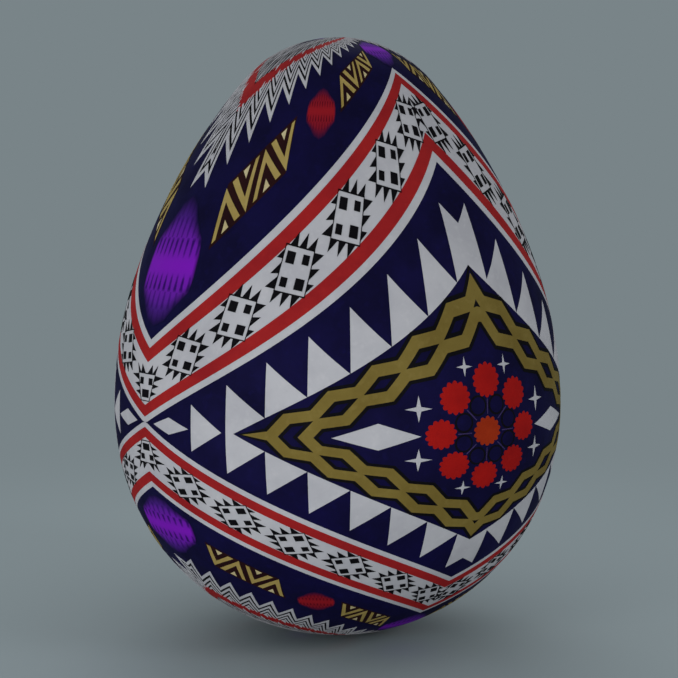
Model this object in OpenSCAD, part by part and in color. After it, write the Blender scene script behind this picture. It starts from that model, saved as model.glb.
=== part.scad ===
// Pysanka: a whole hen's egg with a wax-resist ornament, pointed end up.
// The frame's origin is the blunt pole, +Z runs up the egg's axis, and -Y looks at the front diamond.
// The ornament is drawn in pattern degrees: longitude from the front diamond, and latitude that runs
// from 0 on the widest ring to 90 at either pole, measured along the shell.

/* [Egg] */
// Width of the bare shell at its widest ring
egg_d = 43.5; // [40:0.5:48]
// Length of the bare shell from pole to pole
egg_l = 58.0; // [54:0.5:62]
// Height of the widest ring above the blunt pole
widest_h = 22.5; // [21.5:0.1:23]
// Lean of the flank where the blunt cap hands over to the belly, as a sine
cap_lean = 0.385; // [0.3:0.005:0.5]
// Lean of the flank where the belly hands over to the shoulder, as a sine
shoulder_lean = 0.28; // [0.2:0.01:0.32]
// Lean of the flank where the shoulder hands over to the tip, as a sine
tip_lean = 0.646; // [0.6:0.002:0.7]
// Radius of the long shoulder, as a share of the upper belly's radius
shoulder_share = 1.488; // [1.3:0.004:1.6]

/* [Shell and membranes] */
// Thickness of the calcite shell
shell_t = 0.35; // [0.25:0.01:0.5]
// Thickness of the membrane that lines the shell
outer_membrane_t = 0.06; // [0.04:0.01:0.1]
// Thickness of the membrane round the contents
inner_membrane_t = 0.05; // [0.04:0.01:0.1]
// Room left between one layer and the next
layer_gap = 0.02; // [0.01:0.01:0.04]
// Depth of the air cell at the blunt pole
air_cell_h = 3.5; // [2:0.1:6]
// Radius of the sagging membrane over the air cell
air_cell_r = 40; // [36:1:60]

/* [Contents] */
// Thickness of the dried white in the middle of its cake
albumen_h = 1.6; // [1:0.1:3]
// Diameter of the dried yolk, which lies loose
yolk_d = 20; // [14:0.5:20.5]
// Room between the yolk and what it rests on or runs up against
yolk_clear = 0.3; // [0.2:0.05:0.6]

/* [Colour films] */
// Thickness of the dark ground coat
coat_t = 0.05; // [0.03:0.01:0.08]
// Thickness of a motif's film
film_t = 0.05; // [0.03:0.01:0.08]

/* [Zigzag bands] */
// Latitude that every slanted line gains over a quarter turn
band_rise = 38.9; // [34:0.1:41]
// Width of a whole band
band_w = 15.4; // [13:0.1:17]
// Width of the white line along each edge of a band
white_edge_w = 1.4; // [1:0.1:2]
// Width of the red line inside each white edge
red_line_w = 2.2; // [1.6:0.1:2.6]
// Longitude from one net tile to the next
net_pitch = 14.15; // [13:0.05:15]
// Longitude of the net tile nearest to the diamond's middle line
net_start = 5.7; // [5:0.1:7]
// Step from square to square along a tile's flat sides
net_across = [3.6, -0.2]; // [-1:0.1:5]
// Step from square to square along a tile's steep sides
net_along = [1.2, 2.7]; // [0:0.1:4]
// Width of one black square of the net
net_square = 1.7; // [1:0.1:2.2]

/* [Diamonds] */
// Longitude from one wolf's tooth to the next
tooth_pitch = 9.76; // [9:0.02:10]
// Longitude left between the feet of neighbouring teeth
tooth_gap = 0.2; // [0.1:0.05:1]
// Half width of the double tooth on the diamond's middle line
tooth_start = 4.85; // [4:0.05:6]
// How far the teeth's feet lie inside the band
tooth_foot = 12.2; // [10:0.1:14]
// How far the teeth's points lie inside the band
tooth_point = 2.3; // [1.5:0.1:4]
// Longitude that the last tooth reaches along the widest ring
end_tooth_l = 8.6; // [7:0.1:9]
// Depth of the notch in the tooth on the diamond's middle line
notch_h = 4.3; // [3:0.1:6]
// Longitude and latitude of the ribbon's first crossing
ribbon_start = [-41.75, 3.3]; // [-45:0.05:6]
// Step from one crossing of the ribbon to the next
ribbon_step = [10.05, 4.41]; // [4:0.01:12]
// Length of the ribbon's flat run
ribbon_flat = 6.2; // [5:0.1:7]
// Width of one strand of the ribbon
strand_w = 1.4; // [1:0.1:1.8]
// Longitude and latitude from the rosette's heart to its petals
rosette = [13.1, 10.4]; // [9:0.1:15]
// Half width and half height of a petal
petal = [4.2, 3.35]; // [2.5:0.05:5]
// Depth of the scallops round a petal, as a share of its radius
scallop = 0.1; // [0:0.01:0.2]
// Centre of a large star
large_star_place = [18.75, 5.35]; // [4:0.05:20]
// Half width and half height of a large star
large_star = [3.0, 2.4]; // [2:0.1:4]
// Centre of a small star
small_star_place = [6.25, 12.8]; // [4:0.05:16]
// Half width and half height of a small star
small_star = [2.1, 1.7]; // [1:0.1:3]
// Share of its arm that a star's waist keeps
star_waist = 0.16; // [0.1:0.02:0.3]
// Far end, near end and half height of the lozenge outside the teeth
outer_lozenge = [86.2, 74.0, 1.85]; // [1:0.05:88]
// Far end, near end and half height of the lozenge beside the rosette
inner_lozenge = [38.5, 18.2, 2.8]; // [1:0.05:40]

/* [End fields] */
// Centre latitude, half width and half height of the purple lozenge over the bands' crossing
low_purple = [25.6, 12.3, 7.6]; // [5:0.1:28]
// Centre latitude, half width and half height of the purple lozenge over a diamond
high_purple = [63.5, 14.0, 6.2]; // [5:0.1:66]
// Longitude, latitude, half width and half height of a red lozenge
red_place = [44.2, 45.0, 6.3, 3.9]; // [3:0.1:47]
// Longitudes at which the gold zigzags start
zigzag_starts = [-75.0, -35.8]; // [-76:0.1:-34]
// Longitude that one gold letter takes
zigzag_pitch = 5.3; // [4.5:0.1:6]
// Longitude left between two strokes of a letter
zigzag_gap = 0.4; // [0.2:0.1:0.8]
// Height of a sloping stroke's end
zigzag_end_h = 1.95; // [1.4:0.05:2.6]
// Distance of the gold letters from the bands' inner edges
zigzag_offset = 6.6; // [5:0.1:8]
// Height of a gold letter
zigzag_h = 6.4; // [5:0.1:8]
// Width of a gold stroke
zigzag_w = 1.5; // [1:0.1:2]
// Distance of the chevrons' tips from the bands' inner edges
chevron_offset = 17.8; // [16:0.1:20]
// Chevrons in a quarter turn
chevron_count = 14; // [10:1:16]
// Depth of a chevron
chevron_h = 4.6; // [3:0.1:6]
// Width of a chevron's line
chevron_w = 1.1; // [0.7:0.1:1.5]
// Distance of the red zigzag from the bands' inner edges
red_zigzag_offset = 30.8; // [29:0.1:31]
// Width of the red zigzag
red_zigzag_w = 2.6; // [2:0.1:3]

/* [Hidden] */
$fn = 180;

// How the ornament is drawn out towards the tip: the first sine terms of its rise along the shell
tip_stretch = [0.1364, -0.0643, -0.0194];
// A motif's cutter reaches this far under and over the shell
cut_reach = 1.4;
// Longitude between the ribs of a band's cutter
rib_step = 7.5;
// Turn of the red zigzags' layer, which keeps the seam of its round faces clear of their corners
seam_turn = 1.37;
petal_count = 8;
scallop_count = 8;
star_corners = 8;
letter_count = 4;
quarter = 90;
turn = 360;
back = 180;
rad = 180 / PI;

navy = [0.06, 0.03, 0.2];
white = [0.8, 0.81, 0.82];
red = [0.65, 0.1, 0.1];
gold = [0.6, 0.5, 0.2];
purple = [0.4, 0.08, 0.6];
black = [0.03, 0.03, 0.03];

// The egg's outline: five arcs that run into each other, each with its centre on its neighbours' normals
egg_r = egg_d / 2;
upper_h = egg_l - widest_h;
cap_end = -asin(cap_lean);
shoulder_start = asin(shoulder_lean);
tip_start = asin(tip_lean);
// Below the widest ring, two radii that bring the outline in to the axis at the blunt pole
cap_turn = cos(cap_end) + cap_lean - 1;
lower_belly_r = (cos(cap_end) * widest_h - (1 - cap_lean) * egg_r) / cap_turn;
cap_r = (cap_lean * egg_r - (1 - cos(cap_end)) * widest_h) / cap_turn;
// Above it, how far belly and shoulder come in and rise, in upper belly radii, and the tip in its own
flank_in = 1 - cos(shoulder_start) + shoulder_share * (cos(shoulder_start) - cos(tip_start));
flank_up = shoulder_lean + shoulder_share * (tip_lean - shoulder_lean);
tip_in = cos(tip_start);
tip_up = 1 - tip_lean;
flank_turn = flank_up * tip_in - flank_in * tip_up;
upper_belly_r = (upper_h * tip_in - egg_r * tip_up) / flank_turn;
tip_r = (flank_up * egg_r - flank_in * upper_h) / flank_turn;
shoulder_r = shoulder_share * upper_belly_r;
cap_c = [0, cap_r];
lower_c = [egg_r - lower_belly_r, widest_h];
upper_c = [egg_r - upper_belly_r, widest_h];
shoulder_c = upper_c + (upper_belly_r - shoulder_r) * [cos(shoulder_start), shoulder_lean];
tip_c = [0, egg_l - tip_r];

// Each arc: centre, radius, and the slopes of its normal at its lower and upper end
arcs = [
    [cap_c, cap_r, -quarter, cap_end],
    [lower_c, lower_belly_r, cap_end, 0],
    [upper_c, upper_belly_r, 0, shoulder_start],
    [shoulder_c, shoulder_r, shoulder_start, tip_start],
    [tip_c, tip_r, tip_start, quarter]
];

all_arcs = [0, 1, 2, 3, 4];
lower_arcs = [0, 1];
upper_arcs = [2, 3, 4];
function half_arcs(up) = up > 0 ? upper_arcs : lower_arcs;

// Offsets of the layers from the bare shell
coat_low = layer_gap;
coat_high = coat_low + coat_t;
film_low = coat_high + layer_gap;
film_high = film_low + film_t;
over_low = film_high + layer_gap;
over_high = over_low + film_t;
lining_high = -shell_t - layer_gap;
lining_low = lining_high - outer_membrane_t;
inner_high = lining_low - layer_gap;
inner_low = inner_high - inner_membrane_t;
contents_high = inner_low - layer_gap;
cell_c = [0, air_cell_h + air_cell_r];
albumen_top = air_cell_h + inner_membrane_t + layer_gap + albumen_h;
yolk_rest = albumen_top + yolk_clear + yolk_d / 2;

// Where an arc reaches at a slope of its normal, at an offset from the shell
function arc_point(arc, slope, offset) = arc[0] + (arc[1] + offset) * [cos(slope), sin(slope)];

// Lengths along the shell from the widest ring to the pole, arc by arc
function arc_length(arc) = arc[1] * (arc[3] - arc[2]) / rad;
belly_len = arc_length(arcs[2]);
shoulder_len = arc_length(arcs[3]);
upper_len = belly_len + shoulder_len + arc_length(arcs[4]);
flank_len = arc_length(arcs[1]);
lower_len = flank_len + arc_length(arcs[0]);

// The arc and the slope at a length along the shell above or below the widest ring
function above(s) = s < belly_len ? [2, s / upper_belly_r * rad]
    : s < belly_len + shoulder_len ? [3, shoulder_start + (s - belly_len) / shoulder_r * rad]
    : [4, tip_start + (s - belly_len - shoulder_len) / tip_r * rad];
function below(s) = s < flank_len ? [1, -s / lower_belly_r * rad]
    : [0, cap_end - (s - flank_len) / cap_r * rad];

// Share of the upper half's length at a share of its pattern latitude
function drawn_out(share) = share
    + tip_stretch[0] * sin(180 * share)
    + tip_stretch[1] * sin(360 * share)
    + tip_stretch[2] * sin(540 * share);
function arc_at(latitude) = latitude >= 0 ? above(upper_len * drawn_out(latitude / quarter))
    : below(-lower_len * latitude / quarter);

// A point of the pattern on the egg
function on_egg(p, offset) =
    let (at = arc_at(p[1]), rz = arc_point(arcs[at[0]], at[1], offset))
    [rz[0] * sin(p[0]), -rz[0] * cos(p[0]), rz[1]];

// Latitude of a slanted line that crosses the bands' crossing at the latitude start
function from_middle(longitude) =
    let (turned = ((longitude % back) + back) % back)
    min(turned, back - turned);
function slant(start, longitude) = start + band_rise * (1 - from_middle(longitude) / quarter);

// The outline out to an offset from the shell, as half a section, over all the arcs or some of them
function arc_top(i, offset) = i < 0 ? -offset : arc_point(arcs[i], arcs[i][3], offset)[1];
module section(offset, used = all_arcs) {
    for (i = used) {
        low = arc_top(i - 1, offset);
        high = arc_top(i, offset);
        intersection() {
            translate(arcs[i][0]) circle(r = arcs[i][1] + offset);
            polygon([[0, low], [egg_d, low], [egg_d, high], [0, high]]);
        }
    }
}

module layer(low, high, used = all_arcs) {
    rotate_extrude()
    difference() {
        section(high, used);
        section(low, used);
    }
}

// Prisms that stand on the shell, one for each outline. An outline is a hub that sees every corner,
// then its corners in order.
function facing_out(outline) =
    let (
        n = len(outline) - 1,
        area = [for (i = [1:n]) cross(outline[i], outline[i % n + 1])]
    )
    area * [for (i = [1:n]) 1] > 0 ? outline : [outline[0], for (i = [n:-1:1]) outline[i]];

function prism_points(outline) = [
    for (offset = [-cut_reach, cut_reach])
        for (p = outline)
            on_egg(p, offset)
];

function prism_faces(n, first) = [
    for (i = [1:n])
        let (j = i % n + 1, low = first, high = first + n + 1)
        each [
            [low, low + i, low + j],
            [high, high + j, high + i],
            [low + i, high + i, high + j],
            [low + i, high + j, low + j]
        ]
];

function running_sum(v, i = 0, sum = 0) = i == len(v) ? [] : [sum, each running_sum(v, i + 1, sum + v[i])];

module prisms(outlines) {
    turned = [for (o = outlines) facing_out(o)];
    firsts = running_sum([for (o = turned) 2 * len(o)]);
    polyhedron(
        points = [for (o = turned) each prism_points(o)],
        faces = [for (k = [0:len(turned) - 1]) each prism_faces(len(turned[k]) - 1, firsts[k])]
    );
}

// A closed strip between two lines of the pattern: the low line and the high one, seen along the strip
module strip(low, high) {
    n = len(low);
    points = [
        for (i = [0:n - 1])
            each [
                on_egg(low[i], -cut_reach), on_egg(low[i], cut_reach),
                on_egg(high[i], cut_reach), on_egg(high[i], -cut_reach)
            ]
    ];
    walls = [
        for (i = [0:n - 1], k = [0:3])
            let (a = 4 * i, b = 4 * ((i + 1) % n), m = (k + 1) % 4)
            each [[a + k, a + m, b + m], [a + k, b + m, b + k]]
    ];
    polyhedron(points = points, faces = walls);
}

// A closed line of the pattern given width: its two edges, mitred at its corners
function side(a, b) = let (d = b - a) [-d[1], d[0]] / norm(d);
function mitre(path, i) =
    let (
        n = len(path),
        before = side(path[(i + n - 1) % n], path[i]),
        after = side(path[i], path[(i + 1) % n]),
        mean = before + after
    )
    2 * mean / (mean * mean);
function edge(path, shift) = [for (i = [0:len(path) - 1]) path[i] + shift * mitre(path, i)];

// Copies of outlines and lines in the diamond's other three corners, and in the other half of the egg
function flip(p, across, up) = [p[0] * across, p[1] * up];
function flipped(shape, across, up) = [for (p = shape) flip(p, across, up)];
function shifted(shape, longitude) = [for (p = shape) [p[0] + longitude, p[1]]];
function both_sides(shapes) = [for (s = shapes, across = [-1, 1]) flipped(s, across, 1)];
function four_corners(shapes) = [for (s = shapes, across = [-1, 1], up = [-1, 1]) flipped(s, across, up)];
function placed(shapes, longitude, up) = [for (s = shapes) shifted(flipped(s, 1, up), longitude)];
function all_round(shapes, up) = concat(placed(shapes, 0, up), placed(shapes, back, up));
function box_outline(c, a, b) = [c, c - a - b, c + a - b, c + a + b, c - a + b];
function lozenge(c, half_w, half_h) =
    [c, c + [half_w, 0], c + [0, half_h], c - [half_w, 0], c - [0, half_h]];

// A motif's film, on the ground coat or over another film
module film(used = all_arcs, turned = 0) {
    intersection() {
        rotate([0, 0, turned]) layer(film_low, film_high, used);
        children();
    }
}

module over_film(used = all_arcs) {
    intersection() {
        layer(over_low, over_high, used);
        children();
    }
}

// A closed ring between two slanted lines, in the upper or the lower half
ribs = [for (t = [0:rib_step:turn - rib_step]) t];
function slanted(start, up) = [for (t = ribs) [t, up * slant(start, t)]];
module slanted_ring(from, to, up) {
    strip(slanted(up > 0 ? from : to, up), slanted(up > 0 ? to : from, up));
}

// A ring that zigzags along a slanted line. Its corners fall on the diamonds' middle lines.
module zigzag_ring(start, depth, w, up) {
    half = quarter / (2 * chevron_count);
    count = round(turn / half);
    line = [for (i = [0:count - 1]) [i * half, slant(start + (i % 2 == 0 ? depth : 0), i * half)]];
    low = [for (p = line) [p[0], up * (up > 0 ? p[1] : p[1] + w)]];
    high = [for (p = line) [p[0], up * (up > 0 ? p[1] + w : p[1])]];
    strip(low, high);
}

// Shell, membranes and contents
module eggshell() {
    color(white) layer(-shell_t, 0);
}

module outer_membrane() {
    color("seashell") layer(lining_low, lining_high);
}

// The space inside the inner membrane, or one of its faces: cut off over the air cell
module over_air_cell(offset, cell_offset) {
    intersection() {
        section(offset);
        translate(cell_c) circle(r = air_cell_r + cell_offset);
    }
}

module inner_membrane() {
    color("linen")
    rotate_extrude()
    difference() {
        over_air_cell(inner_high, 0);
        over_air_cell(inner_low, -inner_membrane_t);
    }
}

module dried_albumen() {
    color("khaki")
    rotate_extrude()
    intersection() {
        over_air_cell(contents_high, -inner_membrane_t - layer_gap);
        square([egg_d, albumen_top]);
    }
}

module dried_yolk() {
    color("goldenrod") translate([0, 0, yolk_rest]) sphere(d = yolk_d);
}

// Ground coat and bands
module navy_ground() {
    color(navy) layer(coat_low, coat_high);
}

module band(up) {
    color(white) film(half_arcs(up)) slanted_ring(0, band_w, up);
}

module outer_red_line(up) {
    color(red) over_film(half_arcs(up)) slanted_ring(white_edge_w, white_edge_w + red_line_w, up);
}

module inner_red_line(up) {
    far = band_w - white_edge_w;
    color(red) over_film(half_arcs(up)) slanted_ring(far - red_line_w, far, up);
}

// Four black squares to each tile of the net, in a slanted frame
net_middle = band_w / 2;
function net_tile(longitude) =
    let (c = [-longitude, slant(net_middle, longitude)])
    [
        for (i = [-1, 1], j = [-1, 1])
            box_outline(
                c + (i * net_across + j * net_along) / 2,
                net_across / norm(net_across) * net_square / 2,
                net_along / norm(net_along) * net_square / 2
            )
    ];
net_count = floor((quarter - net_start) / net_pitch);
net_tiles = [for (i = [0:net_count]) each net_tile(net_start + i * net_pitch)];

module net(up) {
    color(black) over_film(half_arcs(up)) prisms(all_round(both_sides(net_tiles), up));
}

// Wolf's teeth: each has an upright back and a slanted foot
function foot(t) = slant(-tooth_foot, t);
function point(t) = slant(-tooth_point, t);
foot_end = -quarter * (1 - tooth_foot / band_rise);
whole_teeth = floor((-foot_end - tooth_start) / tooth_pitch);
function tooth_at(k) = -tooth_start - k * tooth_pitch;
function with_hub(corners) =
    [[for (p = corners) 1] * corners / len(corners), each corners];
function tooth(t) =
    let (far = t + tooth_pitch - tooth_gap)
    with_hub([[t, foot(t)], [far, foot(far)], [t, point(t)]]);
// The double tooth at the diamond's corner on the widest ring, and the single one beyond it
corner_tooth = let (t = tooth_at(whole_teeth + 1), far = t + tooth_pitch - tooth_gap) [
    [(t + foot_end) / 2, 0], [foot_end, 0], [far, foot(far)], [t, point(t)], [t, -point(t)], [far, -foot(far)]
];
end_tooth = let (t = tooth_at(whole_teeth + 2))
    with_hub([[t, point(t)], [t, -point(t)], [t + end_tooth_l, 0]]);
// The double tooth at the diamond's upper corner
top_tooth = [
    [0, (foot(0) + point(0)) / 2],
    [0, foot(0)], [tooth_start, foot(tooth_start)], [tooth_start, point(tooth_start)],
    [0, point(0) - notch_h], [-tooth_start, point(tooth_start)], [-tooth_start, foot(tooth_start)]
];
teeth_outlines = concat(
    four_corners([for (k = [1:whole_teeth]) tooth(tooth_at(k))]),
    both_sides([corner_tooth, end_tooth]),
    [top_tooth, flipped(top_tooth, 1, -1)]
);

module teeth(longitude) {
    color(white) film() prisms(placed(teeth_outlines, longitude, 1));
}

// Interlaced ribbon: two strands that run flat through one crossing and steeply through the next
flat_run = [ribbon_flat, 0];
steep_run = ribbon_step - flat_run;
function crossing(n) = ribbon_start + n * ribbon_step;
crossings = floor(-ribbon_start[0] / ribbon_step[0]);
function cut_at_middle(a, b) = a + (b - a) * (-a[0] / (b[0] - a[0]));
function cut_at_ring(a, b) = a + (b - a) * (-a[1] / (b[1] - a[1]));
// How a strand passes a crossing: the first strand flat at even ones, the second steeply
function run_at(n, first) = (n + first) % 2 == 0 ? flat_run : steep_run;
function strand_path(first) =
    let (
        all = [crossing(0) - run_at(0, first), for (n = [0:crossings]) crossing(n) + run_at(n, first)],
        inside = [for (p = all) if (p[0] < 0 && p[1] > 0) p],
        top = all[len(all) - 1],
        low = all[0][1] > 0 ? all[0] - steep_run : all[0]
    )
    [cut_at_ring(low, inside[0]), each inside, cut_at_middle(inside[len(inside) - 1], top)];

// A strand goes round the diamond, with a corner on each of its middle lines
function reversed(path) = [for (i = [len(path) - 1:-1:0]) path[i]];
function but_last(path) = [for (i = [0:len(path) - 2]) path[i]];
function strand_loop(path) = concat(
    but_last(path), but_last(reversed(flipped(path, -1, 1))),
    but_last(flipped(path, -1, -1)), but_last(reversed(flipped(path, 1, -1)))
);

module ribbon(longitude) {
    color(gold)
    for (first = [0, 1]) {
        loop = shifted(strand_loop(strand_path(first)), longitude);
        film() strip(edge(loop, -strand_w / 2), edge(loop, strand_w / 2));
    }
}

// Rosette of scalloped petals round a heart
function scalloped(c) = [
    c,
    for (i = [0:2 * scallop_count - 1])
        let (a = i * turn / (2 * scallop_count), r = i % 2 == 0 ? 1 : 1 - scallop)
        c + r * [petal[0] * cos(a), petal[1] * sin(a)]
];
petal_outlines = [
    for (i = [0:petal_count - 1])
        let (a = i * turn / petal_count)
        scalloped([rosette[0] * cos(a), rosette[1] * sin(a)])
];

module petals(longitude) {
    color(red) film() prisms(placed(petal_outlines, longitude, 1));
}

module heart(longitude) {
    color("orangered") film() prisms(placed([scalloped([0, 0])], longitude, 1));
}

// Stars and lozenges
function star(c, size) = [
    c,
    for (i = [0:star_corners - 1])
        let (a = i * turn / star_corners, r = i % 2 == 0 ? 1 : star_waist)
        c + r * [size[0] * cos(a), size[1] * sin(a)]
];

module stars(longitude) {
    shapes = [star(large_star_place, large_star), star(small_star_place, small_star)];
    color(white) film() prisms(placed(four_corners(shapes), longitude, 1));
}

function lozenge_between(ends) = lozenge([-(ends[0] + ends[1]) / 2, 0], (ends[0] - ends[1]) / 2, ends[2]);

module lozenges(longitude) {
    shapes = [lozenge_between(outer_lozenge), lozenge_between(inner_lozenge)];
    color(white) film() prisms(placed(both_sides(shapes), longitude, 1));
}

module purple_lozenges(up) {
    shapes = [
        lozenge([-quarter, low_purple[0]], low_purple[1], low_purple[2]),
        lozenge([0, high_purple[0]], high_purple[1], high_purple[2])
    ];
    color(purple) film(half_arcs(up)) prisms(all_round(shapes, up));
}

module red_lozenges(up) {
    shapes = [lozenge([-red_place[0], red_place[1]], red_place[2], red_place[3])];
    color(red) film(half_arcs(up)) prisms(all_round(both_sides(shapes), up));
}

// Gold letters: an upright stroke and a slanted one, turned about in every second letter
zigzag_near = band_w + zigzag_offset;
zigzag_far = zigzag_near + zigzag_h;
function upright(t) = [
    [t + zigzag_w / 2, slant((zigzag_near + zigzag_far) / 2, t)],
    [t, slant(zigzag_near, t)], [t + zigzag_w, slant(zigzag_near, t + zigzag_w)],
    [t + zigzag_w, slant(zigzag_far, t + zigzag_w)], [t, slant(zigzag_far, t)]
];
function sloping(t, w) =
    let (far = t + w, start = slant(zigzag_far - zigzag_end_h, t), end = slant(zigzag_near, far))
    [
        [(t + far) / 2, (start + end + zigzag_end_h) / 2],
        [t, start], [far, end], [far, end + zigzag_end_h], [t, start + zigzag_end_h]
    ];
slope_run = zigzag_pitch - zigzag_w - 2 * zigzag_gap;
function letter(t, turned_about) = turned_about
    ? [sloping(t, slope_run), upright(t + slope_run + zigzag_gap)]
    : [upright(t), sloping(t + zigzag_w + zigzag_gap, slope_run)];
zigzag_outlines = [
    for (start = zigzag_starts, i = [0:letter_count - 1])
        each letter(start + i * zigzag_pitch, i % 2 == 1)
];

module gold_zigzags(up) {
    color(gold) film(half_arcs(up)) prisms(all_round(both_sides(zigzag_outlines), up));
}

// Nested chevrons and the red zigzag towards a pole
module chevrons(up) {
    color(white)
    for (nest = [0, 1])
        film(half_arcs(up))
        zigzag_ring(band_w + chevron_offset + nest * 2 * chevron_w, chevron_h, chevron_w, up);
}

module red_zigzag(up) {
    color(red)
    film(half_arcs(up), seam_turn)
    zigzag_ring(band_w + red_zigzag_offset, chevron_w, red_zigzag_w, up);
}

eggshell();
outer_membrane();
inner_membrane();
dried_albumen();
dried_yolk();
navy_ground();
band(1);  // upper_band
band(-1);  // lower_band
outer_red_line(1);  // upper_outer_red_line
inner_red_line(1);  // upper_inner_red_line
outer_red_line(-1);  // lower_outer_red_line
inner_red_line(-1);  // lower_inner_red_line
net(1);  // upper_net
net(-1);  // lower_net
teeth(0);  // front_teeth
teeth(back);  // back_teeth
ribbon(0);  // front_ribbon
ribbon(back);  // back_ribbon
petals(0);  // front_petals
petals(back);  // back_petals
heart(0);  // front_heart
heart(back);  // back_heart
stars(0);  // front_stars
stars(back);  // back_stars
lozenges(0);  // front_lozenges
lozenges(back);  // back_lozenges
purple_lozenges(1);  // upper_purple
purple_lozenges(-1);  // lower_purple
red_lozenges(1);  // upper_red
red_lozenges(-1);  // lower_red
gold_zigzags(1);  // upper_gold_zigzags
gold_zigzags(-1);  // lower_gold_zigzags
chevrons(1);  // upper_chevrons
chevrons(-1);  // lower_chevrons
red_zigzag(1);  // upper_red_zigzag
red_zigzag(-1);  // lower_red_zigzag
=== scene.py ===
import math

import bpy
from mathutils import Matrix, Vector
from mathutils.geometry import delaunay_2d_cdt


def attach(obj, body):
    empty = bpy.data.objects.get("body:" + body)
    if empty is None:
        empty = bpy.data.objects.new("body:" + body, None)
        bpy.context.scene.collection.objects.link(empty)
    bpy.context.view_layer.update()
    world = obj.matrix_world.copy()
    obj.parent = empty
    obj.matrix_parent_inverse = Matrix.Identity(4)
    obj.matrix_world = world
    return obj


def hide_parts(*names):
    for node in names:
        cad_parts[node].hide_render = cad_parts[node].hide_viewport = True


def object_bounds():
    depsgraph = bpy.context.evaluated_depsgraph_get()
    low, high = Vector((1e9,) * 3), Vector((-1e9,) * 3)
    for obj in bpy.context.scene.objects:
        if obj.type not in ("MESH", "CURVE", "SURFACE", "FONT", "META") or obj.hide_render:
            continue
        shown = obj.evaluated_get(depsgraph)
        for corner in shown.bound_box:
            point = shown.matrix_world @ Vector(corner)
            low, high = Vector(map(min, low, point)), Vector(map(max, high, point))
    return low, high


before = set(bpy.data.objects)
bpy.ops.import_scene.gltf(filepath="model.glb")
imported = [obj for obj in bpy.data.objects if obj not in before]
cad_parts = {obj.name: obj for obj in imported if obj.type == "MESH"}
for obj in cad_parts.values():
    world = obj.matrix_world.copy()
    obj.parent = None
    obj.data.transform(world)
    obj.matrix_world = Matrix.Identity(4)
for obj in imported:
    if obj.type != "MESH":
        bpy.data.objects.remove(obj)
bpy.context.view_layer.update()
print("frame loaded:", len(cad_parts), "solids")

# The egg's outline, as in the solids: five arcs that run into each other
eggForm = {
    "width": 43.5,            # millimetres
    "length": 58.0,
    "widestHeight": 22.5,
    "capLean": 0.385,         # sines of the slopes where one arc hands over to the next
    "shoulderLean": 0.28,
    "tipLean": 0.646,
    "shoulderShare": 1.488,   # shoulder radius over upper belly radius
    "tipStretch": (0.1444, -0.0675, -0.0244, 0.0021, 0.0035),     # of the pattern's latitudes
}
# Every coat lies a little into the one that carries it, in millimetres over the bare shell
coats = {
    "ground": (0.02, 0.07),
    "first": (0.06, 0.085),
    "second": (0.075, 0.1),
    "third": (0.09, 0.115),
}
meshStep = 1.2        # longest edge of a mesh, in pattern degrees
featherStep = 0.7
rimRoom = 0.4         # points inside an outline stay this share of a step off its rim
weldRoom = 1e-6
millimetre = 0.001
quarterTurn = 90
halfTurn = 180
fullTurn = 360


def outlineArcs(form):
    radius = form["width"] / 2
    widest = form["widestHeight"]
    rise = form["length"] - widest
    capEnd = -math.asin(form["capLean"])
    shoulderStart = math.asin(form["shoulderLean"])
    tipStart = math.asin(form["tipLean"])
    share = form["shoulderShare"]
    capTurn = math.cos(capEnd) + form["capLean"] - 1
    lowerBelly = (math.cos(capEnd) * widest - (1 - form["capLean"]) * radius) / capTurn
    cap = (form["capLean"] * radius - (1 - math.cos(capEnd)) * widest) / capTurn
    flankIn = 1 - math.cos(shoulderStart) + share * (math.cos(shoulderStart) - math.cos(tipStart))
    flankUp = form["shoulderLean"] + share * (form["tipLean"] - form["shoulderLean"])
    tipIn, tipUp = math.cos(tipStart), 1 - form["tipLean"]
    flankTurn = flankUp * tipIn - flankIn * tipUp
    upperBelly = (rise * tipIn - radius * tipUp) / flankTurn
    tip = (flankUp * radius - flankIn * rise) / flankTurn
    shoulder = share * upperBelly
    upperCentre = (radius - upperBelly, widest)
    slip = upperBelly - shoulder
    shoulderCentre = (
        upperCentre[0] + slip * math.cos(shoulderStart),
        upperCentre[1] + slip * math.sin(shoulderStart),
    )
    # centre, radius, slope of the normal at the end nearer to the widest ring and at the far end
    below = [((radius - lowerBelly, widest), lowerBelly, 0, capEnd),
             ((0, cap), cap, capEnd, -math.pi / 2)]
    above = [(upperCentre, upperBelly, 0, shoulderStart),
             (shoulderCentre, shoulder, shoulderStart, tipStart),
             ((0, form["length"] - tip), tip, tipStart, math.pi / 2)]
    return below, above


arcsBelow, arcsAbove = outlineArcs(eggForm)


def arcLength(arc):
    return arc[1] * abs(arc[3] - arc[2])


lengthBelow = sum(arcLength(a) for a in arcsBelow)
lengthAbove = sum(arcLength(a) for a in arcsAbove)


# The ornament was laid out by hand: its middle line sits a little low and leans to one side
handLaid = {"low": 0.375, "leanOver": 0.49, "leanWay": 83.0}


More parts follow.
